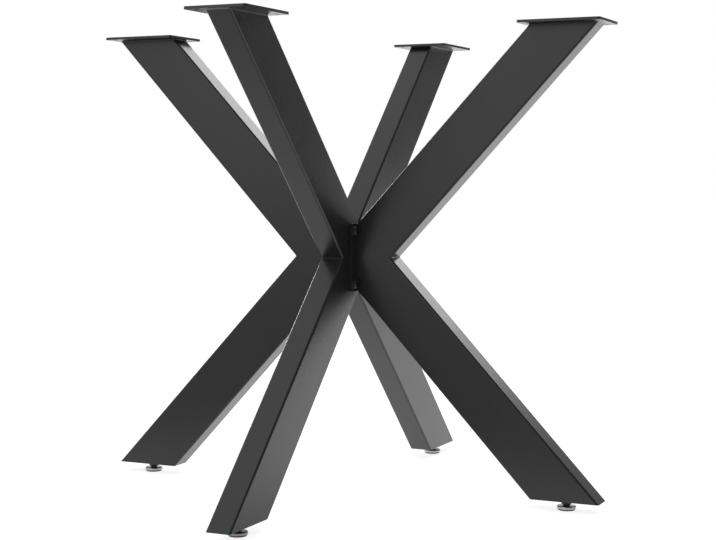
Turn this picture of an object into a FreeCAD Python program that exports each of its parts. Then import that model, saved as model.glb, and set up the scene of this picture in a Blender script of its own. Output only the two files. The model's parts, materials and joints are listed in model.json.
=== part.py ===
"""Crossed four-leg table base of rectangular steel tube.

One flat X frame stands in the YZ plane and a chevron is bolted to each of its broad sides along X.
Millimetres, +Z up, floor at Z = 0, the vertical axis of the base at X = Y = 0.
"""
import math
import os
import re

import FreeCAD
import Part
import Sketcher

Vector = FreeCAD.Vector

# Driving dimensions, millimetres and degrees
SIZES = {
    "overall_height": 711,
    "foot_clearance": 14,
    # Rectangular tube, the broad side in each leg's own upright plane
    "tube_width": 76,
    "tube_depth": 38,
    "tube_wall": 2,
    "tube_corner": 3,
    # Lean of the arms from the vertical, and the chevron's centre line from the axis at mid height
    "frame_tilt": 45,
    "chevron_tilt": 43.2,
    "chevron_offset": 28.87,
    # Table-top plates: how far they stand out past the tube, and their screws from their edges
    "plate_overhang_long": 8.76,
    "plate_overhang_side": 28.5,
    "top_plate_thickness": 4,
    "plate_corner": 4,
    "screw_edge_long": 14,
    "screw_edge_side": 12,
    "screw_hole": 6.5,
    # Flanges that carry the chevrons: margin for the weld, and the bolts from their edges and the tube
    "flange_margin": 1.68,
    "flange_thickness": 5,
    "bolt_edge_up": 12,
    "bolt_edge_side": 8.5,
    "washer_gap": 0.5,
    "seam_margin": 3,
    "bolt_hole": 9,
    # Button-head bolts, washers and the threaded inserts in the frame's wall
    "bolt_diameter": 8,
    "bolt_length": 16,
    "bolt_head_diameter": 14,
    "bolt_head_height": 4.4,
    "bolt_socket": 5,
    "bolt_socket_depth": 2.6,
    "tip_chamfer": 1,
    "washer_diameter": 16,
    "washer_hole": 8.4,
    "washer_thickness": 1.6,
    "insert_diameter": 11,
    "insert_length": 15,
    "insert_rim": 12.4,
    "insert_rim_depth": 0.7,
    # Foot ends
    "end_plate_thickness": 3,
    "end_plate_hole": 9,
    "foot_nut_size": 13,
    "foot_nut_height": 6.5,
    # Levelling feet
    "stud_diameter": 8,
    "stud_length": 25,
    "collar_size": 13,
    "collar_height": 6,
    "neck_diameter": 10,
    "button_diameter": 16,
    "button_height": 1.7,
    "cap_diameter": 28,
    "cap_top": 6.5,
    "cap_bottom": 2.2,
    "cap_wall": 1.2,
    "cap_edge": 1.6,
    "pad_diameter": 24,
    "pad_chamfer": 0.8,
    # Clearances
    "fit": 0.1,
    "thread_fit": 0.05,
    "plate_fit": 0.2,
    # How far a saw block or a drill runs past the face it cuts
    "cut_spare": 1,
}

# Formulas that several pieces share
MID_HEIGHT = "(overall_height - top_plate_thickness + foot_clearance) / 2"
ARM_RISE = "(overall_height - top_plate_thickness - foot_clearance) / 2"
PLATE_UNDERSIDE = "(overall_height - top_plate_thickness)"
FRAME_FACE = "(tube_depth / 2)"
HUB_FACE = "(tube_depth / 2 + flange_thickness)"
TILT = {"frame": "frame_tilt", "chevron": "chevron_tilt"}
MID_REACH = {"frame": "0", "chevron": "chevron_offset"}
# The chevron's sawn end is a slot this far above and below mid height at the flange's outer face
CHEVRON_CUT = f"(({HUB_FACE} - chevron_offset + tube_width / cos(chevron_tilt) / 2) / tan(chevron_tilt))"
BOLT_SPACING_SIDE = "(tube_depth + washer_diameter + 2 * washer_gap)"
# The bolts stand near the ends of the slot's flange, or farther out where the inserts in the
# frame's wall would else come nearer than the margin to the seam between through and half tubes
NEAR_SLOT_END = f"({CHEVRON_CUT} + flange_margin - bolt_edge_up)"
SEAM_REACH = "((tube_width + insert_rim) / 2 + seam_margin)"
CLEAR_OF_SEAM = f"(({SEAM_REACH} - {BOLT_SPACING_SIDE} / 2 * cos(frame_tilt)) / sin(frame_tilt))"
BOLT_SPACING_UP = f"(2 * max({NEAR_SLOT_END}; {CLEAR_OF_SEAM}))"
FLANGE_HEIGHT = f"({BOLT_SPACING_UP} + 2 * bolt_edge_up)"
FLANGE_WIDTH = f"({BOLT_SPACING_SIDE} + 2 * bolt_edge_side)"
PLATE_LENGTH = "(tube_width / cos(frame_tilt) + 2 * plate_overhang_long)"
PLATE_WIDTH = "(tube_depth + 2 * plate_overhang_side)"

doc = FreeCAD.newDocument("table_base")
sheet = doc.addObject("Spreadsheet::Sheet", "sizes")
for row, (alias, value) in enumerate(SIZES.items(), 1):
    sheet.set(f"A{row}", alias)
    sheet.set(f"B{row}", str(value))
    sheet.setAlias(f"B{row}", alias)
doc.recompute()

ALIAS_WORD = re.compile(r"\b(" + "|".join(SIZES) + r")\b")
nodes = {}


def bind(thing, path, text):
    """Ties one property of an object to a formula of the sheet's sizes."""
    thing.setExpression(path, ALIAS_WORD.sub(r"sizes.\1", text))


def keep(thing, label):
    """Gives a finished sub-part its name and puts it on the list of pieces."""
    thing.Label = label
    nodes[label] = thing


def place(thing, at=("0", "0", "0"), about=None, angle="0"):
    """Puts an object at a point, turned about one axis by a positive angle."""
    if about:
        thing.Placement = FreeCAD.Placement(Vector(0, 0, 0), FreeCAD.Rotation(Vector(*about), 10))
        bind(thing, "Placement.Rotation.Angle", angle)
    for letter, text in zip("xyz", at):
        bind(thing, f"Placement.Base.{letter}", text)
    return thing


# Sketches: numbers in the drawing calls are starting positions, and the named constraints set the sizes


def new_sketch(body, name, role="XY_Plane"):
    """An empty sketch on one of the body's own origin planes."""
    plane = next(item for item in body.Origin.OriginFeatures if item.Role == role)
    sketch = body.newObject("Sketcher::SketchObject", name)
    sketch.AttachmentSupport = [(plane, "")]
    sketch.MapMode = "FlatFace"
    return sketch


def dimension(sketch, constraint, name, text):
    """Adds a named dimension and ties it to a formula."""
    index = sketch.addConstraint(constraint)
    sketch.renameConstraint(index, name)
    bind(sketch, f"Constraints.{name}", text)


def rounded_rectangle(sketch, tag, width, height, radius):
    """A closed rectangle with round corners, centred on the sketch's origin."""
    wide, high, round_ = 50.0, 30.0, 2.0
    x, y = wide - round_, high - round_
    first = sketch.GeometryCount
    up = Vector(0, 0, 1)
    centres = [(x, y), (-x, y), (-x, -y), (x, -y)]
    ends = [
        ((x, high), (-x, high)),
        ((-wide, y), (-wide, -y)),
        ((-x, -high), (x, -high)),
        ((wide, -y), (wide, y)),
    ]
    quarter = math.pi / 2
    for number, ((cx, cy), (start, end)) in enumerate(zip(centres, ends)):
        circle = Part.Circle(Vector(cx, cy, 0), up, round_)
        sketch.addGeometry(Part.ArcOfCircle(circle, number * quarter, (number + 1) * quarter))
        sketch.addGeometry(Part.LineSegment(Vector(*start, 0), Vector(*end, 0)))
    arcs = [first + 2 * number for number in range(4)]
    lines = [first + 2 * number + 1 for number in range(4)]
    for number in range(4):
        sketch.addConstraint(Sketcher.Constraint("Tangent", arcs[number], 2, lines[number], 1))
        sketch.addConstraint(Sketcher.Constraint("Tangent", lines[number], 2, arcs[(number + 1) % 4], 1))
    for line, direction in zip(lines, ["Horizontal", "Vertical", "Horizontal", "Vertical"]):
        sketch.addConstraint(Sketcher.Constraint(direction, line))
    for arc in arcs[1:]:
        sketch.addConstraint(Sketcher.Constraint("Equal", arcs[0], arc))
    sketch.addConstraint(Sketcher.Constraint("Symmetric", arcs[0], 3, arcs[2], 3, -1, 1))
    dimension(sketch, Sketcher.Constraint("Radius", arcs[0], round_), f"{tag}_corner", radius)
    across = Sketcher.Constraint("DistanceX", lines[1], 1, lines[3], 1, 2 * wide)
    upright = Sketcher.Constraint("DistanceY", lines[2], 1, lines[0], 1, 2 * high)
    dimension(sketch, across, f"{tag}_width", width)
    dimension(sketch, upright, f"{tag}_height", height)


def four_holes(sketch, along, across, diameter):
    """Four equal round holes at the corners of a rectangle about the origin."""
    first = sketch.GeometryCount
    for x, y in [(20, 10), (-20, 10), (-20, -10), (20, -10)]:
        sketch.addGeometry(Part.Circle(Vector(x, y, 0), Vector(0, 0, 1), 3))
    for number in range(1, 4):
        sketch.addConstraint(Sketcher.Constraint("Equal", first, first + number))
    dimension(sketch, Sketcher.Constraint("Diameter", first, 6), "hole_diameter", diameter)
    dimension(sketch, Sketcher.Constraint("DistanceX", -1, 1, first, 3, 20), "hole_along", f"({along}) / 2")
    dimension(sketch, Sketcher.Constraint("DistanceY", -1, 1, first, 3, 10), "hole_across", f"({across}) / 2")
    sketch.addConstraint(Sketcher.Constraint("Symmetric", first, 3, first + 1, 3, -2))
    sketch.addConstraint(Sketcher.Constraint("Symmetric", first, 3, first + 2, 3, -1, 1))
    sketch.addConstraint(Sketcher.Constraint("Symmetric", first, 3, first + 3, 3, -1))


def centre_hole(sketch, diameter):
    """One round hole at the sketch's origin."""
    hole = sketch.addGeometry(Part.Circle(Vector(0, 0, 0), Vector(0, 0, 1), 2))
    sketch.addConstraint(Sketcher.Constraint("Coincident", hole, 3, -1, 1))
    dimension(sketch, Sketcher.Constraint("Diameter", hole, 4), "hole_diameter", diameter)


def closed_profile(sketch, corners):
    """Straight lines round a list of corners, each corner dimensioned from the origin."""
    count = len(corners)
    for number in range(count):
        ahead = (number + 1) % count
        start, end = (Vector(10 + corner, corner * corner, 0) for corner in (number, ahead))
        sketch.addGeometry(Part.LineSegment(start, end))
    for number, (x, y) in enumerate(corners):
        sketch.addConstraint(Sketcher.Constraint("Coincident", (number - 1) % count, 2, number, 1))
        dimension(sketch, Sketcher.Constraint("DistanceX", -1, 1, number, 1, 10 + number), f"x{number}", x)
        dimension(sketch, Sketcher.Constraint("DistanceY", -1, 1, number, 1, 1 + number), f"y{number}", y)


def hexagon(sketch, across_flats):
    """A regular hexagon about the origin with two flats square to X."""
    circle = sketch.addGeometry(Part.Circle(Vector(0, 0, 0), Vector(0, 0, 1), 8), True)
    sketch.addConstraint(Sketcher.Constraint("Coincident", circle, 3, -1, 1))
    corners = [(7, 4), (0, 8), (-7, 4), (-7, -4), (0, -8), (7, -4)]
    points = [Vector(x, y, 0) for x, y in corners]
    first = sketch.GeometryCount
    for number in range(6):
        sketch.addGeometry(Part.LineSegment(points[number], points[(number + 1) % 6]))
    for number in range(6):
        line = first + number
        ahead = first + (number + 1) % 6
        sketch.addConstraint(Sketcher.Constraint("Coincident", line, 2, ahead, 1))
        sketch.addConstraint(Sketcher.Constraint("PointOnObject", line, 1, circle))
        if number:
            sketch.addConstraint(Sketcher.Constraint("Equal", first, line))
    sketch.addConstraint(Sketcher.Constraint("Vertical", first + 5))
    across_corners = f"({across_flats}) / cos(30)"
    dimension(sketch, Sketcher.Constraint("Diameter", circle, 16), "across_corners", across_corners)


# Features


def new_body(name):
    return doc.addObject("PartDesign::Body", name)


def pad(body, sketch, length, name="Pad"):
    """Thickens a sketch along its normal."""
    feature = body.newObject("PartDesign::Pad", name)
    feature.Profile = sketch
    bind(feature, "Length", length)
    sketch.Visibility = False


def turned(body, corners, name="Turned"):
    """A full turn about the body's Z axis of a profile in its XZ plane."""
    sketch = new_sketch(body, name + "_profile", "XZ_Plane")
    closed_profile(sketch, corners)
    feature = body.newObject("PartDesign::Revolution", name)
    feature.Profile = sketch
    feature.ReferenceAxis = (sketch, ["V_Axis"])
    feature.Angle = 360


def box(name, low, size):
    """A block from its lowest corner and its three lengths, all formulas."""
    block = doc.addObject("Part::Box", name)
    for prop, text in zip(["Length", "Width", "Height"], size):
        bind(block, prop, text)
    return place(block, low)


def join(kind, name, pieces):
    """A boolean of several pieces: MultiCommon, MultiFuse or Compound."""
    result = doc.addObject(f"Part::{kind}", name)
    if kind == "Compound":
        result.Links = pieces
    else:
        result.Shapes = pieces
    return result


def cut(name, base, tool):
    result = doc.addObject("Part::Cut", name)
    result.Base = base
    result.Tool = tool
    return result


# Tubes: each is a bar of stock, leaned over and sawn to its cuts


def tube_stock(name, plane, start, length):
    """Rectangular tube along its own Z axis, broad side in the XZ or the YZ plane."""
    body = new_body(name)
    section = new_sketch(body, name + "_section")
    outer = ["tube_width", "tube_depth"]
    inner = ["tube_width - 2 * tube_wall", "tube_depth - 2 * tube_wall"]
    if plane == "YZ":
        outer.reverse()
        inner.reverse()
    rounded_rectangle(section, "outer", *outer, "tube_corner")
    rounded_rectangle(section, "inner", *inner, "tube_corner - tube_wall")
    bind(section, "AttachmentOffset.Base.z", start)
    pad(body, section, length, name + "_bar")
    return body


# X frame: one through tube, and two half tubes that butt against it
ARM_STOCK = f"{ARM_RISE} / cos(frame_tilt) + tube_width"
through = tube_stock("through_stock", "YZ", f"-({ARM_STOCK})", f"2 * ({ARM_STOCK})")
place(through, ("0", "0", MID_HEIGHT), (-1, 0, 0), "frame_tilt")
frame_saw = box(
    "frame_saw",
    (f"-{FRAME_FACE} - cut_spare", f"-({ARM_STOCK})", "foot_clearance"),
    ("tube_depth + 2 * cut_spare", f"2 * ({ARM_STOCK})", f"2 * {ARM_RISE}"),
)
# The through tube's outside, swept as a solid block, squares off the ends of the half tubes
through_block = doc.addObject("Part::Box", "through_block")
through_lengths = ["tube_depth + 2 * cut_spare", "tube_width", f"2 * ({ARM_STOCK})"]
for prop, text in zip(["Length", "Width", "Height"], through_lengths):
    bind(through_block, prop, text)
HALF = "(tube_width / 2)"
place(
    through_block,
    (
        f"-{FRAME_FACE} - cut_spare",
        f"-({ARM_STOCK}) * sin(frame_tilt) - {HALF} * cos(frame_tilt)",
        f"{MID_HEIGHT} - ({ARM_STOCK}) * cos(frame_tilt) + {HALF} * sin(frame_tilt)",
    ),
    (-1, 0, 0),
    "frame_tilt",
)

# Holes for the threaded inserts, through one wall at each broad side, with a seat for the rim
drills = []
for side, sign in (("left", "-"), ("right", "")):
    for across in ("-", ""):
        for up in ("-", ""):
            at_y = f"{across}{BOLT_SPACING_SIDE} / 2"
            at_z = f"{MID_HEIGHT} + {up}{BOLT_SPACING_UP} / 2"
            tag = f"{side}_{'front' if across else 'back'}_{'low' if up else 'high'}"
            drill = doc.addObject("Part::Cylinder", f"drill_{tag}")
            bind(drill, "Radius", "insert_diameter / 2 + thread_fit")
            bind(drill, "Height", "tube_wall + 2 * cut_spare")
            seat = doc.addObject("Part::Cone", f"seat_{tag}")
            bind(seat, "Radius1", "insert_diameter / 2 + thread_fit")
            bind(seat, "Radius2", "insert_rim / 2 + thread_fit")
            bind(seat, "Height", "insert_rim_depth")
            turn = (0, -1, 0) if sign else (0, 1, 0)
            place(drill, (f"{sign}({FRAME_FACE} - tube_wall - cut_spare)", at_y, at_z), turn, "90")
            place(seat, (f"{sign}({FRAME_FACE} - insert_rim_depth)", at_y, at_z), turn, "90")
            drills += [drill, seat]
insert_holes = join("MultiFuse", "insert_holes", drills)

sawn_through = join("MultiCommon", "sawn_through", [through, frame_saw])
keep(cut("x_frame_through_tube", sawn_through, insert_holes), "x_frame_through_tube")
for half, about, angle in (("upper", (1, 0, 0), "frame_tilt"), ("lower", (-1, 0, 0), "180 - frame_tilt")):
    stock = tube_stock(f"x_frame_{half}_stock", "YZ", "0", ARM_STOCK)
    place(stock, ("0", "0", MID_HEIGHT), about, angle)
    sawn = join("MultiCommon", f"sawn_{half}", [stock, frame_saw])
    squared = cut(f"squared_{half}", sawn, through_block)
    keep(cut(f"x_frame_{half}_tube", squared, insert_holes), f"x_frame_{half}_tube")

# Chevrons: an upper and a lower tube mitred at mid height and sawn upright at the flange
CHEVRON_STOCK = f"{ARM_RISE} / cos(chevron_tilt) + 2 * tube_width"
CHEVRON_SIDES = [("right", (0, 1, 0), HUB_FACE), ("left", (0, -1, 0), f"-{HUB_FACE} - overall_height")]
CHEVRON_HALVES = [("upper", "chevron_tilt", MID_HEIGHT), ("lower", "180 - chevron_tilt", "foot_clearance")]
for side, turn, low_x in CHEVRON_SIDES:
    centre = MID_REACH["chevron"] if side == "right" else f"-{MID_REACH['chevron']}"
    for half, angle, low_z in CHEVRON_HALVES:
        stock = tube_stock(f"{side}_{half}_stock", "XZ", "-tube_width", CHEVRON_STOCK)
        place(stock, (centre, "0", MID_HEIGHT), turn, angle)
        saw = box(
            f"{side}_{half}_saw",
            (low_x, f"-{FRAME_FACE} - cut_spare", low_z),
            ("overall_height", "tube_depth + 2 * cut_spare", ARM_RISE),
        )
        keep(join("MultiCommon", f"{side}_{half}_tube", [stock, saw]), f"{side}_{half}_tube")


# Plates


def plate(name, width, height, thickness, corner):
    """A flat plate with round corners, padded up from the XY plane; holes are added to its sketch."""
    body = new_body(name)
    outline = new_sketch(body, name + "_outline")
    rounded_rectangle(outline, "outer", width, height, corner)
    pad(body, outline, thickness, name + "_plate")
    return body, outline


for side, turn, start in (("right", (0, 1, 0), FRAME_FACE), ("left", (0, -1, 0), f"-{FRAME_FACE}")):
    flange, outline = plate(
        f"{side}_flange", FLANGE_HEIGHT, FLANGE_WIDTH, "flange_thickness", "plate_corner"
    )
    four_holes(outline, BOLT_SPACING_UP, BOLT_SPACING_SIDE, "bolt_hole")
    place(flange, (start, "0", MID_HEIGHT), turn, "90")
    keep(flange, f"{side}_flange")

# Each leg: its member, the unit direction it points in, and the names of its parts
LEGS = {
    "right": ("chevron", 1, 0),
    "left": ("chevron", -1, 0),
    "back": ("frame", 0, 1),
    "front": ("frame", 0, -1),
}


def reach_at(member, rise):
    """Distance of a leg's centre line from the axis at a rise from mid height."""
    return f"({MID_REACH[member]} + ({rise}) * tan({TILT[member]}))"


def on_leg(leg, reach, height):
    """A point at a reach along a leg's direction and at a height."""
    member, along_x, along_y = LEGS[leg]
    return (f"{along_x} * {reach}", f"{along_y} * {reach}", height)


for leg, (member, _, along_y) in LEGS.items():
    sizes = [PLATE_LENGTH, PLATE_WIDTH]
    screws = [f"{PLATE_LENGTH} - 2 * screw_edge_long", f"{PLATE_WIDTH} - 2 * screw_edge_side"]
    if along_y:
        sizes.reverse()
        screws.reverse()
    top, outline = plate(f"{leg}_top_plate", *sizes, "top_plate_thickness", "plate_corner")
    four_holes(outline, *screws, "screw_hole")
    place(top, on_leg(leg, reach_at(member, ARM_RISE), PLATE_UNDERSIDE))
    keep(top, f"{leg}_top_plate")


# Foot ends: a plate let into the tube's mouth, with a weld nut on it, and a levelling foot


def nut(name, across_flats, height, bore):
    """A hexagon nut with a round bore, its lower face on the XY plane."""
    body = new_body(name)
    outline = new_sketch(body, name + "_outline")
    hexagon(outline, across_flats)
    centre_hole(outline, bore)
    pad(body, outline, height, name + "_hexagon")
    return body


STACK = {
    "neck_low": "cap_top - cap_wall - fit",
    "collar_low": "foot_clearance - collar_height",
}
for leg, (member, _, along_y) in LEGS.items():
    slope = f"tan({TILT[member]})"
    reach = reach_at(member, f"{ARM_RISE} - end_plate_thickness / 2")
    mouth = [
        f"(tube_width - 2 * tube_wall) / cos({TILT[member]}) - end_plate_thickness * {slope} - 2 * plate_fit",
        "tube_depth - 2 * tube_wall - 2 * plate_fit",
    ]
    if along_y:
        mouth.reverse()
    end, outline = plate(f"{leg}_end_plate", *mouth, "end_plate_thickness", "tube_corner - tube_wall")
    centre_hole(outline, "end_plate_hole")
    place(end, on_leg(leg, reach, "foot_clearance"))
    keep(end, f"{leg}_end_plate")

    weld_nut = nut(f"{leg}_foot_nut", "foot_nut_size", "foot_nut_height", "stud_diameter + 2 * fit")
    place(weld_nut, on_leg(leg, reach, "foot_clearance + end_plate_thickness"))
    keep(weld_nut, f"{leg}_foot_nut")

    stud = new_body(f"{leg}_foot_stud")
    shank = "stud_diameter / 2"
    top = "foot_clearance + stud_length"
    turned(stud, [
        ("0", f"{STACK['neck_low']} - button_height"),
        ("button_diameter / 2", f"{STACK['neck_low']} - button_height"),
        ("button_diameter / 2", STACK["neck_low"]),
        ("neck_diameter / 2", STACK["neck_low"]),
        ("neck_diameter / 2", STACK["collar_low"]),
        (shank, STACK["collar_low"]),
        (shank, f"{top} - tip_chamfer"),
        (f"{shank} - tip_chamfer", top),
        ("0", top),
    ])
    collar_sketch = new_sketch(stud, f"{leg}_collar_outline")
    hexagon(collar_sketch, "collar_size")
    bind(collar_sketch, "AttachmentOffset.Base.z", STACK["collar_low"])
    pad(stud, collar_sketch, "collar_height", f"{leg}_collar")
    place(stud, on_leg(leg, reach, "0"))
    keep(stud, f"{leg}_foot_stud")

    cap = new_body(f"{leg}_foot_cap")
    bore = "neck_diameter / 2 + fit"
    rim = "cap_diameter / 2"
    turned(cap, [
        (bore, "cap_top - cap_wall"),
        (f"{rim} - cap_wall", "cap_top - cap_wall"),
        (f"{rim} - cap_wall", "cap_bottom"),
        (rim, "cap_bottom"),
        (rim, "cap_top - cap_edge"),
        (f"{rim} - cap_edge", "cap_top"),
        (bore, "cap_top"),
    ])
    place(cap, on_leg(leg, reach, "0"))
    keep(cap, f"{leg}_foot_cap")

    glide = new_body(f"{leg}_foot_pad")
    inside = "cap_diameter / 2 - cap_wall - fit"
    turned(glide, [
        ("0", "0"),
        ("pad_diameter / 2", "0"),
        (inside, "pad_chamfer"),
        (inside, "cap_top - cap_wall - fit"),
        ("button_diameter / 2 + fit", "cap_top - cap_wall - fit"),
        ("button_diameter / 2 + fit", f"{STACK['neck_low']} - button_height - fit"),
        ("0", f"{STACK['neck_low']} - button_height - fit"),
    ])
    place(glide, on_leg(leg, reach, "0"))
    keep(glide, f"{leg}_foot_pad")

# Flange fasteners: one master of each, with its seat on the XY plane and its head or rim upwards
bolt = new_body("bolt_master")
# The domed head, from its rim to its flat top, as shares of the head's radius and height
DOME = [(1, 0.25), (0.87, 0.66), (0.62, 0.92), (0.5, 1)]
head = "bolt_head_diameter / 2"
turned(bolt, [
    ("0", "-bolt_length"),
    ("bolt_diameter / 2 - tip_chamfer", "-bolt_length"),
    ("bolt_diameter / 2", "tip_chamfer - bolt_length"),
    ("bolt_diameter / 2", "0"),
    (head, "0"),
    *[(f"{head} * {out}", f"bolt_head_height * {up}") for out, up in DOME],
    ("0", "bolt_head_height"),
])
socket_sketch = new_sketch(bolt, "socket_outline")
hexagon(socket_sketch, "bolt_socket")
bind(socket_sketch, "AttachmentOffset.Base.z", "bolt_head_height")
doc.recompute()
socket = bolt.newObject("PartDesign::Pocket", "socket")
socket.Profile = socket_sketch
bind(socket, "Length", "bolt_socket_depth")

washer = new_body("washer_master")
washer_outline = new_sketch(washer, "washer_outline")
for name, diameter, start in (("inner", "washer_hole", 4), ("outer", "washer_diameter", 8)):
    ring = washer_outline.addGeometry(Part.Circle(Vector(0, 0, 0), Vector(0, 0, 1), start))
    washer_outline.addConstraint(Sketcher.Constraint("Coincident", ring, 3, -1, 1))
    dimension(washer_outline, Sketcher.Constraint("Diameter", ring, 9), name, diameter)
pad(washer, washer_outline, "washer_thickness", "washer_ring")

insert = new_body("insert_master")
sleeve = "insert_diameter / 2"
bore = "bolt_diameter / 2 + thread_fit"
turned(insert, [
    (bore, "-insert_length"),
    (sleeve, "-insert_length"),
    (sleeve, "-insert_rim_depth"),
    ("insert_rim / 2", "0"),
    (bore, "0"),
])

FASTENERS = {
    "flange_bolts": (bolt, f"({HUB_FACE} + washer_thickness)"),
    "flange_washers": (washer, HUB_FACE),
    "frame_inserts": (insert, FRAME_FACE),
}
for side, turn, sign in (("right", (0, 1, 0), ""), ("left", (0, -1, 0), "-")):
    for group, (master, seat) in FASTENERS.items():
        copies = []
        for across in ("-", ""):
            for up in ("-", ""):
                copy = doc.addObject("App::Link", f"{side}_{group}_{len(copies) + 1}")
                copy.LinkedObject = master
                copy.LinkTransform = False
                at_y = f"{across}{BOLT_SPACING_SIDE} / 2"
                at_z = f"{MID_HEIGHT} + {up}{BOLT_SPACING_UP} / 2"
                place(copy, (f"{sign}{seat}", at_y, at_z), turn, "90")
                copies.append(copy)
        keep(join("Compound", f"{side}_{group}", copies), f"{side}_{group}")

doc.recompute()
for thing in doc.Objects:
    if {"Invalid", "Error"} & set(thing.State):
        raise RuntimeError(f"{thing.Label} is {thing.State}")
for label, thing in nodes.items():
    if thing.Shape.isNull() or not thing.Shape.isValid():
        raise RuntimeError(f"{label} has no valid shape")

os.makedirs("parts", exist_ok=True)
for label, thing in nodes.items():
    thing.Shape.exportStep(f"parts/{label}.step")
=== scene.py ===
import json
import math

import bmesh
import bpy
import numpy as np
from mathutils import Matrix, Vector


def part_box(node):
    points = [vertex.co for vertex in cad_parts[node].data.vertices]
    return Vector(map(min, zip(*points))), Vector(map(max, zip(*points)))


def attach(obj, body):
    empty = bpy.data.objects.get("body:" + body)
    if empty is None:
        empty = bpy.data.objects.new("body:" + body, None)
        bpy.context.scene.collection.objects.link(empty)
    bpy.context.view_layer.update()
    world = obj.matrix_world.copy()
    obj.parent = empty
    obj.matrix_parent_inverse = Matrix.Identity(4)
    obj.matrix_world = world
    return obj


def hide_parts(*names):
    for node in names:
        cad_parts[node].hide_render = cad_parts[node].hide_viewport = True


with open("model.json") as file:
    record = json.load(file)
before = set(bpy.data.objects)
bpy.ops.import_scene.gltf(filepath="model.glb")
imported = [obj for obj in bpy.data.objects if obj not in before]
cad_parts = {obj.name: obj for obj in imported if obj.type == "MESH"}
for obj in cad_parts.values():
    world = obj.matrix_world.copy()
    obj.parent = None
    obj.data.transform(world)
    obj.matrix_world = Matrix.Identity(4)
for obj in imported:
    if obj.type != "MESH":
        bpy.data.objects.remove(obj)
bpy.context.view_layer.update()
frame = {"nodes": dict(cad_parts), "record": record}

# The X frame: one through tube and two half tubes butted and welded against it, all 76 by 38 mm
# cold-formed steel. It is shot-blasted and powder coated satin black, and all tubes, flanges and
# plates have this coat, with the fine orange peel of a cured powder.
MM = 0.001
COAT_COLOUR = (0.010, 0.010, 0.0102)
COAT_ROUGHNESS = 0.28
PEEL_SIZE = 1.1 * MM
GRAIN_SIZE = 0.28 * MM
CLOUD_SIZE = 90 * MM
NOISE_MIDDLE = 0.5
DRIFT_REACH = 0.3


def cured_surface_group():
    """Node group of a sprayed and cured finish: long peel waves plus a fine grain make the height,
    and a slow cloud, centred on zero, makes the tone and the gloss drift over the metal."""
    group = bpy.data.node_groups.new("cured_surface", "ShaderNodeTree")
    sockets = group.interface
    for name in ("Peel scale", "Grain scale", "Grain share", "Cloud scale"):
        sockets.new_socket(name, in_out="INPUT", socket_type="NodeSocketFloat")
    for name in ("Height", "Drift"):
        sockets.new_socket(name, in_out="OUTPUT", socket_type="NodeSocketFloat")
    nodes, links = group.nodes, group.links
    given = nodes.new("NodeGroupInput")
    out = nodes.new("NodeGroupOutput")
    where = nodes.new("ShaderNodeTexCoord")
    details = {"Peel": 1.0, "Grain": 2.0, "Cloud": 3.0}
    noises = {}
    for name, detail in details.items():
        noise = nodes.new("ShaderNodeTexNoise")
        noise.inputs["Detail"].default_value = detail
        links.new(where.outputs["Object"], noise.inputs["Vector"])
        links.new(given.outputs[f"{name} scale"], noise.inputs["Scale"])
        noises[name] = noise.outputs["Fac"]
    height = nodes.new("ShaderNodeMix")
    links.new(given.outputs["Grain share"], height.inputs["Factor"])
    links.new(noises["Peel"], height.inputs["A"])
    links.new(noises["Grain"], height.inputs["B"])
    links.new(height.outputs["Result"], out.inputs["Height"])
    drift = nodes.new("ShaderNodeMath")
    drift.operation = "SUBTRACT"
    drift.inputs[1].default_value = NOISE_MIDDLE
    links.new(noises["Cloud"], drift.inputs[0])
    links.new(drift.outputs["Value"], out.inputs["Drift"])
    return group


CURED = cured_surface_group()


def finished_metal(name, colour, roughness, metallic, peel, grain, grain_share, depth, tone, gloss):
    """A material on the cured-surface group. The drift scales the colour by plus or minus tone and
    the roughness by plus or minus gloss. Waves of the sizes peel and grain, in metres, make a height
    with the given share of grain, which bumps the surface by depth."""
    material = bpy.data.materials.new(name)
    material.use_nodes = True
    nodes, links = material.node_tree.nodes, material.node_tree.links
    shader = nodes["Principled BSDF"]
    shader.inputs["Metallic"].default_value = metallic
    skin = nodes.new("ShaderNodeGroup")
    skin.node_tree = CURED
    skin.inputs["Peel scale"].default_value = 1 / peel
    skin.inputs["Grain scale"].default_value = 1 / grain
    skin.inputs["Grain share"].default_value = grain_share
    skin.inputs["Cloud scale"].default_value = 1 / CLOUD_SIZE
    shade = nodes.new("ShaderNodeMapRange")
    rough = nodes.new("ShaderNodeMapRange")
    spans = ((shade, 0.0, 1.0), (rough, roughness * (1 - gloss), roughness * (1 + gloss)))
    for ranged, low, high in spans:
        ranged.inputs["From Min"].default_value = -DRIFT_REACH
        ranged.inputs["From Max"].default_value = DRIFT_REACH
        ranged.inputs["To Min"].default_value = low
        ranged.inputs["To Max"].default_value = high
        links.new(skin.outputs["Drift"], ranged.inputs["Value"])
    tint = nodes.new("ShaderNodeMix")
    tint.data_type = "RGBA"
    tint.inputs["A"].default_value = (*[value * (1 - tone) for value in colour], 1)
    tint.inputs["B"].default_value = (*[value * (1 + tone) for value in colour], 1)
    bump = nodes.new("ShaderNodeBump")
    bump.inputs["Strength"].default_value = 1.0
    bump.inputs["Distance"].default_value = depth
    links.new(shade.outputs["Result"], tint.inputs["Factor"])
    links.new(tint.outputs["Result"], shader.inputs["Base Color"])
    links.new(rough.outputs["Result"], shader.inputs["Roughness"])
    links.new(skin.outputs["Height"], bump.inputs["Height"])
    links.new(bump.outputs["Normal"], shader.inputs["Normal"])
    return material


BLACK_COAT = finished_metal(
    "powder_coat", colour=COAT_COLOUR, roughness=COAT_ROUGHNESS, metallic=0.0,
    peel=PEEL_SIZE, grain=GRAIN_SIZE, grain_share=0.3, depth=0.01 * MM, tone=0.12, gloss=0.10,
)


def wear(node, material):
    """Gives a carried-over CAD node its finish."""
    thing = frame["nodes"][node]
    thing.data.materials.clear()
    thing.data.materials.append(material)


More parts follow.
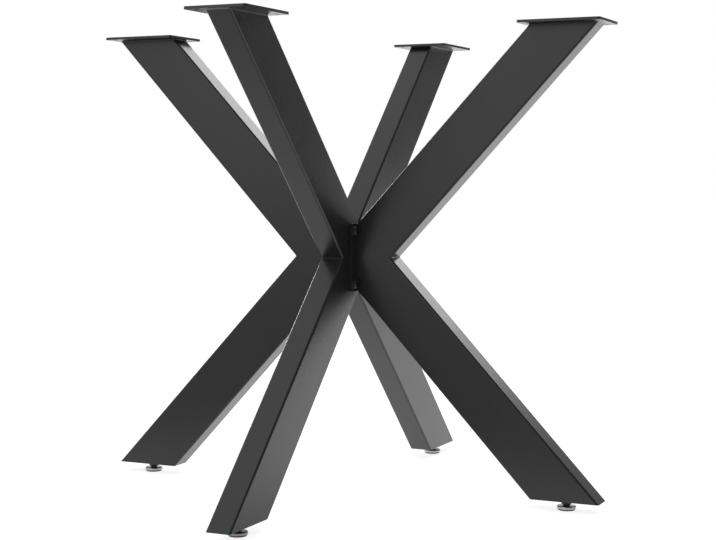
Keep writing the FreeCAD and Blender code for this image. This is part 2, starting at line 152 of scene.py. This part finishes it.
for node in ("x_frame_through_tube", "x_frame_upper_tube", "x_frame_lower_tube"):
    wear(node, BLACK_COAT)

# Weld beads of the X frame: fillets laid by hand in the four notches where the half tubes meet the
# through tube, under the coat. The front and back ones, which face a sitter, are dressed to a thin
# line, and on the broad sides the joint is ground flush, so it has no bead.
TUBE_WIDTH = 76 * MM
TUBE_DEPTH = 38 * MM
TUBE_CORNER = 3 * MM
FRAME_TILT = math.radians(45)
THROUGH_LOW, THROUGH_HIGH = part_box("x_frame_through_tube")
MID_HEIGHT = (THROUGH_LOW.z + THROUGH_HIGH.z) / 2
NOTCH_REACH = TUBE_WIDTH / 2 / math.cos(FRAME_TILT)
BEAD_LEG = 1.5 * MM
DRESSED_LEG = 0.5 * MM
BEAD_PITCH = 1.8 * MM
BEAD_RIPPLE = 0.12
RIPPLE_MEAN = 0.6
BEAD_HOLLOW = 2.4
BEAD_ACROSS = 9
BEAD_TIP = 0.02
BEAD_SINK = 0.3 * MM
BEAD_STEP = 0.22 * MM
MERGE = 0.002 * MM
SHARP_ANGLE = math.radians(38)


def surface_mesh(name, grids, material, body):
    """One mesh of one or more closed grids of points, each rows by columns by 3, wrapped across its
    columns and, if its flag says so, its rows. Each grid is turned to face outwards by the sign of
    its volume, the sum of each face's triple product with the origin, and its poles are merged."""
    points, faces = [], []
    start = 0
    for grid, wrap_rows in grids:
        rows, columns = grid.shape[:2]
        index = start + np.arange(rows * columns).reshape(rows, columns)
        below = index if wrap_rows else index[:-1]
        above = np.roll(index, -1, 0) if wrap_rows else index[1:]
        around = [below, np.roll(below, -1, 1), np.roll(above, -1, 1), above]
        quads = np.stack(around, -1).reshape(-1, 4)
        flat = grid.reshape(-1, 3)
        a, b, c, d = (flat[quads[:, k] - start] for k in range(4))
        volume = (np.cross(b - a, c - a) * a).sum() + (np.cross(c - a, d - a) * a).sum()
        if volume < 0:
            quads = quads[:, ::-1]
        points.append(flat)
        faces.append(quads)
        start += len(flat)
    mesh = bpy.data.meshes.new(name)
    mesh.from_pydata(np.concatenate(points).tolist(), [], np.concatenate(faces).tolist())
    shape = bmesh.new()
    shape.from_mesh(mesh)
    bmesh.ops.remove_doubles(shape, verts=shape.verts, dist=MERGE)
    bmesh.ops.dissolve_degenerate(shape, edges=shape.edges, dist=MERGE)
    shape.to_mesh(mesh)
    shape.free()
    mesh.shade_smooth()
    mesh.set_sharp_from_angle(angle=SHARP_ANGLE)
    mesh.materials.append(material)
    thing = bpy.data.objects.new(name, mesh)
    bpy.context.scene.collection.objects.link(thing)
    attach(thing, body)
    return thing


def bead_grid(corner, leg_a, leg_b, closed, size):
    """Points of a fillet bead along a path of corner points. Across it runs a quarter of a
    superellipse, a little hollow, from one leg to the other, closed by three sunk points. Along it
    the leg swells and pinches once in each pitch, and an open bead tapers at its two ends."""
    turn = np.linspace(0, math.pi / 2, BEAD_ACROSS)
    sink = BEAD_SINK / size
    along_a = np.concatenate([np.cos(turn) ** BEAD_HOLLOW, [-sink, -sink, 1]])
    along_b = np.concatenate([np.sin(turn) ** BEAD_HOLLOW, [1, -sink, -sink]])
    step = np.linalg.norm(np.diff(corner, axis=0), axis=1)
    travel = np.concatenate([[0], np.cumsum(step)])
    swell = np.abs(np.sin(math.pi * travel / BEAD_PITCH)) - RIPPLE_MEAN
    leg = size * (1 + BEAD_RIPPLE * swell)
    if not closed:
        from_end = np.minimum(travel, travel[-1] - travel)
        leg = leg * np.sqrt(np.clip(from_end / size, BEAD_TIP, 1))
    across = along_a[None, :, None] * leg_a[:, None, :] + along_b[None, :, None] * leg_b[:, None, :]
    return corner[:, None, :] + leg[:, None, None] * across


def straight_bead(middle, run, half_length, leg_a, leg_b, size):
    """A bead of a leg size along a straight run through a middle point, its two legs' directions
    constant. The end rows are drawn in to a point, so that the bead is closed."""
    count = int(2 * half_length / BEAD_STEP)
    travel = np.linspace(-half_length, half_length, count)
    corner = np.array(middle) + travel[:, None] * np.array(run)
    grid = bead_grid(corner, np.tile(leg_a, (count, 1)), np.tile(leg_b, (count, 1)), False, size)
    ends = [np.tile(grid[k].mean(0), (1, grid.shape[1], 1)) for k in (0, -1)]
    return np.concatenate([ends[0], grid, ends[1]])


HALF_RUN = TUBE_DEPTH / 2 - TUBE_CORNER / 2
slope_y, slope_z = math.sin(FRAME_TILT), math.cos(FRAME_TILT)
notches = []
for out_y, out_z in ((0, 1), (0, -1), (1, 0), (-1, 0)):
    place = (0, out_y * NOTCH_REACH, MID_HEIGHT + out_z * NOTCH_REACH)
    if out_z:
        legs = [(0, -slope_y, out_z * slope_z), (0, slope_y, out_z * slope_z)]
    else:
        legs = [(0, out_y * slope_y, slope_z), (0, out_y * slope_y, -slope_z)]
    size = BEAD_LEG if out_z else DRESSED_LEG
    notches.append((straight_bead(place, (1, 0, 0), HALF_RUN, *legs, size), False))
surface_mesh("x_frame_welds", notches, BLACK_COAT, "base")

# The chevrons: two tubes mitred and welded at mid height, sawn upright where the hub flange, a 5 mm
# plate with four bolt holes, is welded on. They are coated apart from the X frame and bolted to it.
SIDES = {"right": 1, "left": -1}
for side in SIDES:
    for piece in ("upper_tube", "lower_tube", "flange"):
        wear(f"{side}_{piece}", BLACK_COAT)

# Chevron welds: one fillet in the notch of the mitre, and one over and one under the sawn end, which
# hold it on its flange. Beside the tube, where the washers stand close, the joint has no bead.
CHEVRON_TILT = math.radians(43.2)
CHEVRON_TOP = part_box("right_upper_tube")[1].z
PLATE_TOPS = {
    mount["name"].removesuffix("_plate_top"): mount["pos_m"]
    for mount in frame["record"]["mounts"] if mount["name"].endswith("_plate_top")
}
CHEVRON_OFFSET = PLATE_TOPS["right"][0] - (CHEVRON_TOP - MID_HEIGHT) * math.tan(CHEVRON_TILT)
HALF_ACROSS = TUBE_WIDTH / 2 / math.cos(CHEVRON_TILT)
CREASE_REACH = CHEVRON_OFFSET + HALF_ACROSS
HUB_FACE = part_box("right_flange")[1].x
SLOT_HALF = (HUB_FACE - CHEVRON_OFFSET + HALF_ACROSS) / math.tan(CHEVRON_TILT)
CORNER_POINTS = 14


def rounded_outline(half_long, half_wide, long_radius, wide_radius):
    """Points round a rectangle whose corners are quarter ellipses, about one each bead step, and
    their outward normals, which are square to the line through each point's two neighbours."""
    corner = np.linspace(0, math.pi / 2, CORNER_POINTS)
    pieces = []
    for quarter, (sign_u, sign_v) in enumerate(((1, 1), (-1, 1), (-1, -1), (1, -1))):
        turn = corner + quarter * math.pi / 2
        u = sign_u * (half_long - long_radius) + long_radius * np.cos(turn)
        v = sign_v * (half_wide - wide_radius) + wide_radius * np.sin(turn)
        pieces.append(np.stack([u, v], 1))
    loop = np.concatenate(pieces + [pieces[0][:1]])
    travel = np.concatenate([[0], np.cumsum(np.linalg.norm(np.diff(loop, axis=0), axis=1))])
    even = np.arange(0, travel[-1], BEAD_STEP)
    loop = np.stack([np.interp(even, travel, loop[:, k]) for k in (0, 1)], 1)
    ahead = np.roll(loop, -1, 0) - np.roll(loop, 1, 0)
    normal = np.stack([ahead[:, 1], -ahead[:, 0]], 1)
    return loop, normal / np.linalg.norm(normal, axis=1)[:, None]


sine, cosine = math.sin(CHEVRON_TILT), math.cos(CHEVRON_TILT)
for side, sign in SIDES.items():
    crease = (sign * CREASE_REACH, 0, MID_HEIGHT)
    legs = [(sign * sine, 0, cosine), (sign * sine, 0, -cosine)]
    beads = [straight_bead(crease, (0, 1, 0), HALF_RUN, *legs, BEAD_LEG)]
    for up in (1, -1):
        seat = (sign * HUB_FACE, 0, MID_HEIGHT + up * SLOT_HALF)
        legs = [(0, 0, up), (sign * sine, 0, up * cosine)]
        beads.append(straight_bead(seat, (0, 1, 0), HALF_RUN, *legs, BEAD_LEG))
    open_beads = [(bead, False) for bead in beads]
    surface_mesh(f"{side}_chevron_welds", open_beads, BLACK_COAT, "base")

# Table-top plates and foot end plates: laser-cut flat steel, their arrises eased by the coat, as the
# flanges' are. A top plate is fillet welded all round to the leaning tube's end before coating. An
# end plate is let into the tube's mouth at the foot, welded and ground flush.
LEGS = {"right": (1, 0), "left": (-1, 0), "back": (0, 1), "front": (0, -1)}
ARRIS = 0.35 * MM
ARRIS_STEPS = 2
EASE_ANGLE = math.radians(40)
FLAT_ANGLE = math.radians(1)


def eased_plate(node):
    """A copy of a flat CAD plate, its doubles merged and its flat faces made whole, whose sharp
    edges a bevel rounds by the arris."""
    source = frame["nodes"][node]
    thing = bpy.data.objects.new(node + "_eased", source.data.copy())
    shape = bmesh.new()
    shape.from_mesh(thing.data)
    bmesh.ops.remove_doubles(shape, verts=shape.verts, dist=MERGE)
    bmesh.ops.dissolve_limit(shape, angle_limit=FLAT_ANGLE, verts=shape.verts, edges=shape.edges)
    shape.to_mesh(thing.data)
    shape.free()
    bpy.context.scene.collection.objects.link(thing)
    thing.data.shade_smooth()
    thing.data.set_sharp_from_angle(angle=EASE_ANGLE)
    ease = thing.modifiers.new("arris", "BEVEL")
    ease.width = ARRIS
    ease.segments = ARRIS_STEPS
    ease.limit_method = "ANGLE"
    ease.angle_limit = EASE_ANGLE
    ease.harden_normals = True
    thing.data.materials.clear()
    thing.data.materials.append(BLACK_COAT)
    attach(thing, "base")
    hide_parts(node)


flat_plates = [f"{leg}_{plate}" for leg in LEGS for plate in ("top_plate", "end_plate")]
flat_plates += [f"{side}_flange" for side in SIDES]
for node in flat_plates:
    eased_plate(node)

for leg, (out_x, out_y) in LEGS.items():
    tilt = CHEVRON_TILT if out_x else FRAME_TILT
    half_long = TUBE_WIDTH / 2 / math.cos(tilt)
    loop, normal = rounded_outline(half_long, TUBE_DEPTH / 2, TUBE_CORNER / math.cos(tilt), TUBE_CORNER)
    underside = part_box(f"{leg}_top_plate")[0].z
    reach = PLATE_TOPS[leg][0] * out_x + PLATE_TOPS[leg][1] * out_y
    along = reach + loop[:, 0]
    corner = np.stack([
        out_x * along + abs(out_y) * loop[:, 1],
        out_y * along + abs(out_x) * loop[:, 1],
        np.full(len(loop), underside),
    ], 1)
    outward = np.stack([
        out_x * normal[:, 0] + abs(out_y) * normal[:, 1],
        out_y * normal[:, 0] + abs(out_x) * normal[:, 1],
        np.zeros(len(loop)),
    ], 1)
    down_tube = (-out_x * math.sin(tilt), -out_y * math.sin(tilt), -math.cos(tilt))
    bead = bead_grid(corner, outward, np.tile(down_tube, (len(loop), 1)), True, BEAD_LEG)
    surface_mesh(f"{leg}_plate_weld", [(bead, True)], BLACK_COAT, "base")

# Flange bolts, washers and threaded inserts: button-head M8 steel screws and punched washers in
# black zinc. Each screw goes into a bright zinc-plated insert set into the frame's wall.
BLACK_ZINC = finished_metal(
    "black_zinc_plate", colour=(0.022, 0.022, 0.023), roughness=0.42, metallic=0.5,
    peel=0.5 * MM, grain=0.12 * MM, grain_share=0.6, depth=0.006 * MM, tone=0.2, gloss=0.15,
)
BRIGHT_ZINC = finished_metal(
    "zinc_plate", colour=(0.60, 0.61, 0.63), roughness=0.30, metallic=1.0,
    peel=0.6 * MM, grain=0.15 * MM, grain_share=0.6, depth=0.006 * MM, tone=0.08, gloss=0.2,
)
BOLT_RADIUS = 4 * MM
BOLT_LENGTH = 16 * MM
BOLT_TIP = 1 * MM
HEAD_RADIUS = 7 * MM
HEAD_HEIGHT = 4.4 * MM
HEAD_RIM = 0.5 * MM
HEAD_SIDE = 1.1 * MM
HEAD_FLAT = 3.5 * MM
DOME_RINGS = 7
SOCKET_FLATS = 5 * MM
SOCKET_DEPTH = 2.6 * MM
SOCKET_MOUTH = 0.15 * MM
MOUTH_DEPTH = 0.25 * MM
DRILL_DEPTH = 0.6 * MM
SOCKET_TURN = 0.6
WASHER_HOLE = 4.2 * MM
WASHER_RADIUS = 8 * MM
WASHER_THICK = 1.6 * MM
WASHER_ROLL = 0.35 * MM
ROLL_RINGS = 4
FACETS = 48
AROUND = np.arange(FACETS) * 2 * math.pi / FACETS


def hexagon_radius(flats):
    """Distance from the centre to a hexagon's side at each angle: half the width across flats over
    the cosine of the angle from the nearest flat's middle."""
    from_flat = (AROUND + math.pi / 6) % (math.pi / 3) - math.pi / 6
    return flats / 2 / np.cos(from_flat)


def turned_grid(rings):
    """Rings of points about the Z axis: each ring is a radius, one number or one for each angle,
    and a height."""
    rows = []
    for radius, height in rings:
        radius = np.broadcast_to(radius, AROUND.shape)
        level = np.full(FACETS, height)
        rows.append(np.stack([radius * np.cos(AROUND), radius * np.sin(AROUND), level], 1))
    return np.array(rows)


def arc_rings(centre_radius, centre_height, radius, start, end, count):
    """Rings along a circular arc of a turned profile, from one angle to another in degrees."""
    turn = np.radians(np.linspace(start, end, count))
    return [(centre_radius + radius * math.cos(t), centre_height + radius * math.sin(t)) for t in turn]


def button_bolt():
    """A bolt seated at height 0: tip, shank, head with a domed top, a quarter ellipse in profile,
    and a hexagon socket with a countersunk mouth and a drilled floor."""
    reach, rise = HEAD_RADIUS - HEAD_FLAT, HEAD_HEIGHT - HEAD_SIDE
    sweep = np.linspace(0, math.pi / 2, DOME_RINGS)
    dome = [(HEAD_FLAT + reach * math.cos(t), HEAD_SIDE + rise * math.sin(t)) for t in sweep]
    mouth = SOCKET_FLATS / 2 / math.cos(math.pi / 6) + SOCKET_MOUTH
    floor = HEAD_HEIGHT - SOCKET_DEPTH
    hexagon = hexagon_radius(SOCKET_FLATS)
    rings = [(0, -BOLT_LENGTH), (BOLT_RADIUS - BOLT_TIP, -BOLT_LENGTH)]
    rings += [(BOLT_RADIUS, BOLT_TIP - BOLT_LENGTH), (BOLT_RADIUS, 0)]
    rings += arc_rings(HEAD_RADIUS - HEAD_RIM, HEAD_RIM, HEAD_RIM, -90, 0, ROLL_RINGS) + dome
    rings += [(mouth, HEAD_HEIGHT), (hexagon, HEAD_HEIGHT - MOUTH_DEPTH)]
    rings += [(hexagon, floor), (0, floor - DRILL_DEPTH)]
    return turned_grid(rings)


def punched_washer():
    """A flat washer on height 0, with the rolled upper edges that the punch leaves."""
    high = WASHER_THICK - WASHER_ROLL
    rings = [(WASHER_HOLE, 0), (WASHER_RADIUS, 0)]
    rings += arc_rings(WASHER_RADIUS - WASHER_ROLL, high, WASHER_ROLL, 0, 90, ROLL_RINGS)
    rings += arc_rings(WASHER_HOLE + WASHER_ROLL, high, WASHER_ROLL, 90, 180, ROLL_RINGS)
    return turned_grid(rings)


flange_bolts = button_bolt()
flange_washer = punched_washer()
for side, sign in SIDES.items():
    low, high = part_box(f"{side}_flange_washers")
    spread_y, spread_z = (high.y - low.y) / 2 - WASHER_RADIUS, (high.z - low.z) / 2 - WASHER_RADIUS
    seats = [(y * spread_y, MID_HEIGHT + z * spread_z) for y in (-1, 1) for z in (-1, 1)]
    for name, grid, seat, wraps in (
        ("flange_bolts", flange_bolts, HUB_FACE + WASHER_THICK, False),
        ("flange_washers", flange_washer, HUB_FACE, True),
    ):
        copies = []
        for number, (y, z) in enumerate(seats):
            turn = SOCKET_TURN * number if name == "flange_bolts" else 0.0
            across = grid[..., 0] * math.cos(turn) - grid[..., 1] * math.sin(turn)
            upward = grid[..., 0] * math.sin(turn) + grid[..., 1] * math.cos(turn)
            copies.append((np.stack([sign * (seat + grid[..., 2]), y + across, z + upward], -1), wraps))
        made = surface_mesh(f"{side}_{name}_turned", copies, BLACK_ZINC, "base")
        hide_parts(f"{side}_{name}")
    wear(f"{side}_frame_inserts", BRIGHT_ZINC)

# Levelling feet: a black threaded stud with a hexagon collar, a pressed cap in satin nickel that is
# swaged over its button, and a moulded nylon glide pad. Each foot screws into its weld nut.
NICKEL_CAP = finished_metal(
    "satin_nickel", colour=(0.38, 0.38, 0.39), roughness=0.30, metallic=1.0,
    peel=0.8 * MM, grain=0.15 * MM, grain_share=0.5, depth=0.005 * MM, tone=0.08, gloss=0.2,
)
BLACK_NYLON = finished_metal(
    "moulded_nylon", colour=(0.012, 0.012, 0.012), roughness=0.55, metallic=0.0,
    peel=0.5 * MM, grain=0.15 * MM, grain_share=0.6, depth=0.015 * MM, tone=0.15, gloss=0.1,
)
THREAD_PITCH = 1.25 * MM
THREAD_DEPTH = 0.68 * MM
THREAD_ROWS = 10
THREAD_SLOPE = 1.25
CREST_FLAT = 0.12
STUD_RADIUS = 4 * MM
STUD_TIP = 1 * MM
COLLAR_FLATS = 13 * MM
COLLAR_LOW = 8 * MM
COLLAR_HIGH = 14 * MM
COLLAR_INSET = 0.2 * MM
COLLAR_SLOPE = 1.6
COLLAR_RISES = [0, 0.25 * MM, 0.55 * MM, 0.9 * MM, 1.3 * MM]
NECK_RADIUS = 5 * MM
BUTTON_RADIUS = 8 * MM
BUTTON_LOW = 3.5 * MM
BUTTON_HIGH = 5.2 * MM
TURNED_EDGE = 0.3 * MM
FIT = 0.1 * MM
CAP_RADIUS = 14 * MM
CAP_LOW = 2.2 * MM
CAP_HIGH = 6.5 * MM
CAP_WALL = 1.2 * MM
CAP_SHOULDER = 1.6 * MM
OUTER_RINGS = 9
INNER_RINGS = 7
PAD_RADIUS = 12 * MM
PAD_ROUND = 0.8 * MM
SOLE_START = -60
SOLE_RINGS = 5
PAD_CHAMFER = 1.2 * MM
PAD_OUTSIDE = CAP_RADIUS - CAP_WALL - FIT


def stud_grids(top):
    """A levelling stud: a turned button and neck, a hexagon collar whose corners a cone chamfers,
    and a thread whose radius is a triangle wave of height over pitch less the turn about the axis."""
    neck_top = COLLAR_LOW + TURNED_EDGE
    lower = [(0, BUTTON_LOW), (BUTTON_RADIUS - TURNED_EDGE, BUTTON_LOW)]
    lower += [(BUTTON_RADIUS, BUTTON_LOW + TURNED_EDGE), (BUTTON_RADIUS, BUTTON_HIGH)]
    lower += [(NECK_RADIUS, BUTTON_HIGH), (NECK_RADIUS, neck_top), (0, neck_top)]
    hexagon = hexagon_radius(COLLAR_FLATS)
    face = COLLAR_FLATS / 2 - COLLAR_INSET
    chamfer = [(np.minimum(hexagon, face + COLLAR_SLOPE * rise), rise) for rise in COLLAR_RISES]
    collar = [(0, COLLAR_LOW)] + [(radius, COLLAR_LOW + rise) for radius, rise in chamfer]
    collar += [(radius, COLLAR_HIGH - rise) for radius, rise in chamfer[::-1]] + [(0, COLLAR_HIGH)]
    count = int((top - COLLAR_HIGH) / THREAD_PITCH * THREAD_ROWS)
    height = np.linspace(COLLAR_HIGH, top, count)
    wave = np.abs((height[:, None] / THREAD_PITCH - AROUND / (2 * math.pi)) % 1 * 2 - 1)
    cut = THREAD_DEPTH * np.clip(wave * THREAD_SLOPE - CREST_FLAT, 0, 1)
    ends = np.clip(np.minimum(height - COLLAR_HIGH, top - height) / THREAD_PITCH, 0, 1)[:, None]
    radius = STUD_RADIUS - cut * ends
    radius = np.minimum(radius, STUD_RADIUS - STUD_TIP + (top - height)[:, None])
    thread = [(0, COLLAR_HIGH)] + list(zip(radius, height)) + [(0, top)]
    return [turned_grid(lower), turned_grid(collar), turned_grid(thread)]


def cap_grid():
    """A pressed cap: a flat top with a bore, a drawn shoulder that rounds into the skirt, and the
    same line again one wall inside."""
    bore = NECK_RADIUS + FIT
    centre = (CAP_RADIUS - CAP_SHOULDER, CAP_HIGH - CAP_SHOULDER)
    rings = [(bore, CAP_HIGH)] + arc_rings(*centre, CAP_SHOULDER, 90, 0, OUTER_RINGS)
    rings += [(CAP_RADIUS, CAP_LOW + TURNED_EDGE), (CAP_RADIUS - TURNED_EDGE, CAP_LOW)]
    rings += [(CAP_RADIUS - CAP_WALL, CAP_LOW)]
    rings += arc_rings(*centre, CAP_SHOULDER - CAP_WALL, 0, 90, INNER_RINGS)
    rings += [(bore, CAP_HIGH - CAP_WALL)]
    return turned_grid(rings)


def pad_grid():
    """A moulded glide: a flat sole with a rounded edge, the side that fills the cap, and a recess
    for the stud's button."""
    low = BUTTON_LOW - FIT
    inside = BUTTON_RADIUS + FIT
    rings = [(0, 0), (PAD_RADIUS, 0)]
    rings += arc_rings(PAD_OUTSIDE - PAD_ROUND, PAD_ROUND, PAD_ROUND, SOLE_START, 0, SOLE_RINGS)
    rings += [(PAD_OUTSIDE, BUTTON_HIGH - PAD_CHAMFER), (PAD_OUTSIDE - PAD_CHAMFER, BUTTON_HIGH)]
    rings += [(inside, BUTTON_HIGH), (inside, low), (0, low)]
    return turned_grid(rings)


for leg in LEGS:
    low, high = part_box(f"{leg}_foot_stud")
    centre = np.array([(low.x + high.x) / 2, (low.y + high.y) / 2, 0])
    body = f"{leg}_foot"
    stud = [(grid + centre, False) for grid in stud_grids(high.z)]
    for name, grids, material, slot in (
        ("stud", stud, BLACK_ZINC, "black_fastener"),
        ("cap", [(cap_grid() + centre, True)], NICKEL_CAP, "nickel_cap"),
        ("pad", [(pad_grid() + centre, False)], BLACK_NYLON, "black_nylon"),
    ):
        made = surface_mesh(f"{leg}_foot_{name}_turned", grids, material, body)
        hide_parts(f"{leg}_foot_{name}")
    wear(f"{leg}_foot_nut", BRIGHT_ZINC)

# The studio: a pale floor that runs out of sight, a surround that the camera sees white and gloss
# sees white on the left only, soft panels, and a level camera at the photograph's angle. Nothing
# here is part of the base.
FLOOR_REACH = 12.0
FLOOR_GREY = 0.36
FLOOR_WHITE = 0.78
FLOOR_BOUNCE = 0.3
FLOOR_ROUGHNESS = 0.9
FLOOR_FALL = (-0.7, 0.15)
FLOOR_LEVELS = (0.0, 1.0)
ROOM_FALL = (-0.3, 0.4)
ROOM_LEVELS = (1.0, 0.15)
PHOTO_WIDTH = 716
PHOTO_HEIGHT = 540
FOCAL_PX = 1561.8
HORIZON_PX = 172.4
SENSOR_MM = 36.0
CAMERA_PLACE = (1.041, -2.187, 0.4906)
CAMERA_AZIMUTH = 25.07
CLIP_START = 0.05
CLIP_END = 60.0


def strength_by_ray(tree, coordinates, axis, places, levels, to_camera, to_spread):
    """A socket with the strength of a white thing by the kind of ray that meets it: one for the
    camera's rays, one for light that only spreads, and for gloss and glass a level that runs from
    the first to the second one between two places on an axis of the coordinates."""
    path = tree.nodes.new("ShaderNodeLightPath")
    gloss = tree.nodes.new("ShaderNodeMath")
    gloss.operation = "MAXIMUM"
    where = tree.nodes.new("ShaderNodeTexCoord")
    apart = tree.nodes.new("ShaderNodeSeparateXYZ")
    fall = tree.nodes.new("ShaderNodeMapRange")
    fall.name = "gloss_level"
    fall.inputs["From Min"].default_value = places[0]
    fall.inputs["From Max"].default_value = places[1]
    fall.inputs["To Min"].default_value = levels[0]
    fall.inputs["To Max"].default_value = levels[1]
    unseen = tree.nodes.new("ShaderNodeMix")
    unseen.name = "spread_level"
    unseen.inputs["A"].default_value = to_spread
    strength = tree.nodes.new("ShaderNodeMix")
    strength.inputs["B"].default_value = to_camera
    tree.links.new(path.outputs["Is Glossy Ray"], gloss.inputs[0])
    tree.links.new(path.outputs["Is Transmission Ray"], gloss.inputs[1])
    tree.links.new(where.outputs[coordinates], apart.inputs["Vector"])
    tree.links.new(apart.outputs[axis], fall.inputs["Value"])
    tree.links.new(gloss.outputs["Value"], unseen.inputs["Factor"])
    tree.links.new(fall.outputs["Result"], unseen.inputs["B"])
    tree.links.new(path.outputs["Is Camera Ray"], strength.inputs["Factor"])
    tree.links.new(unseen.outputs["Result"], strength.inputs["A"])
    return strength.outputs["Result"]


def pale_floor():
    """A square of pale floor. The camera gets a white, a little less than full, on top of the paint,
    so that lit floor is white and the base's soft shadow stays. Light that only spreads gets the
    bounce on top, so that upright faces are lit at a plain level. To gloss the floor is bright
    behind the base and only paint on the camera's side."""
    mesh = bpy.data.meshes.new("floor")
    corners = ((-1, -1), (1, -1), (1, 1), (-1, 1))
    mesh.from_pydata([(x * FLOOR_REACH, y * FLOOR_REACH, 0) for x, y in corners], [], [(0, 1, 2, 3)])
    floor = bpy.data.objects.new("floor", mesh)
    bpy.context.scene.collection.objects.link(floor)
    material = bpy.data.materials.new("floor_paint")
    material.use_nodes = True
    tree = material.node_tree
    paint = tree.nodes["Principled BSDF"]
    paint.inputs["Base Color"].default_value = (FLOOR_GREY, FLOOR_GREY, FLOOR_GREY, 1)
    paint.inputs["Roughness"].default_value = FLOOR_ROUGHNESS
    paint.inputs["Specular IOR Level"].default_value = 0.0
    white = tree.nodes.new("ShaderNodeEmission")
    both = tree.nodes.new("ShaderNodeAddShader")
    strength = strength_by_ray(
        tree, "Object", "Y", FLOOR_FALL, FLOOR_LEVELS, to_camera=FLOOR_WHITE, to_spread=FLOOR_BOUNCE
    )
    tree.links.new(strength, white.inputs["Strength"])
    tree.links.new(paint.outputs["BSDF"], both.inputs[0])
    tree.links.new(white.outputs["Emission"], both.inputs[1])
    tree.links.new(both.outputs["Shader"], tree.nodes["Material Output"].inputs["Surface"])
    mesh.materials.append(material)


def white_surround(ambient):
    """A world that is white, strength 1, to the camera, and ambient to light that only spreads. To
    gloss it is white on the left and falls off to the right, as a room lit from one side does."""
    world = bpy.data.worlds.new("surround")
    bpy.context.scene.world = world
    world.use_nodes = True
    tree = world.node_tree
    background = tree.nodes["Background"]
    background.inputs["Color"].default_value = (1, 1, 1, 1)
    strength = strength_by_ray(
        tree, "Generated", "X", ROOM_FALL, ROOM_LEVELS, to_camera=1.0, to_spread=ambient
    )
    tree.links.new(strength, background.inputs["Strength"])


def soft_panel(name, place, target, size, power):
    """A rectangular lamp at a place, turned to face a target point."""
    lamp = bpy.data.lights.new(name, "AREA")
    lamp.shape = "RECTANGLE"
    lamp.size, lamp.size_y = size
    lamp.energy = power
    panel = bpy.data.objects.new(name, lamp)
    bpy.context.scene.collection.objects.link(panel)
    away = np.array(target, float) - np.array(place, float)
    panel.location = place
    panel.rotation_euler = Vector(away).to_track_quat("-Z", "Y").to_euler()


AMBIENT = 1.0
# Each panel's place, the point it faces, its two sides in metres and its power in watts
PANELS = {
    "panel_back_high": ((0.1, 2.4, 1.8), (0, 0, 0.4), (1.8, 1.4), 22),
    "panel_front": ((-0.9, -2.6, 0.9), (0, 0, 0.4), (1.8, 1.2), 3),
    "panel_left_behind": ((-2.5, 1.1, 1.5), (0, 0, 0.36), (0.6, 0.6), 22),
}
pale_floor()
white_surround(AMBIENT)
for name, (place, target, size, power) in PANELS.items():
    soft_panel(name, place, target, size, power)

lens = bpy.data.cameras.new("photo_camera")
lens.sensor_fit = "HORIZONTAL"
lens.sensor_width = SENSOR_MM
lens.lens = SENSOR_MM * FOCAL_PX / PHOTO_WIDTH
lens.shift_y = -(PHOTO_HEIGHT / 2 - HORIZON_PX) / PHOTO_WIDTH
lens.clip_start = CLIP_START
lens.clip_end = CLIP_END
camera = bpy.data.objects.new("photo_camera", lens)
camera.location = CAMERA_PLACE
camera.rotation_euler = (math.pi / 2, 0, math.radians(CAMERA_AZIMUTH))
bpy.context.scene.collection.objects.link(camera)
bpy.context.scene.camera = camera
bpy.context.scene.view_settings.view_transform = "Standard"
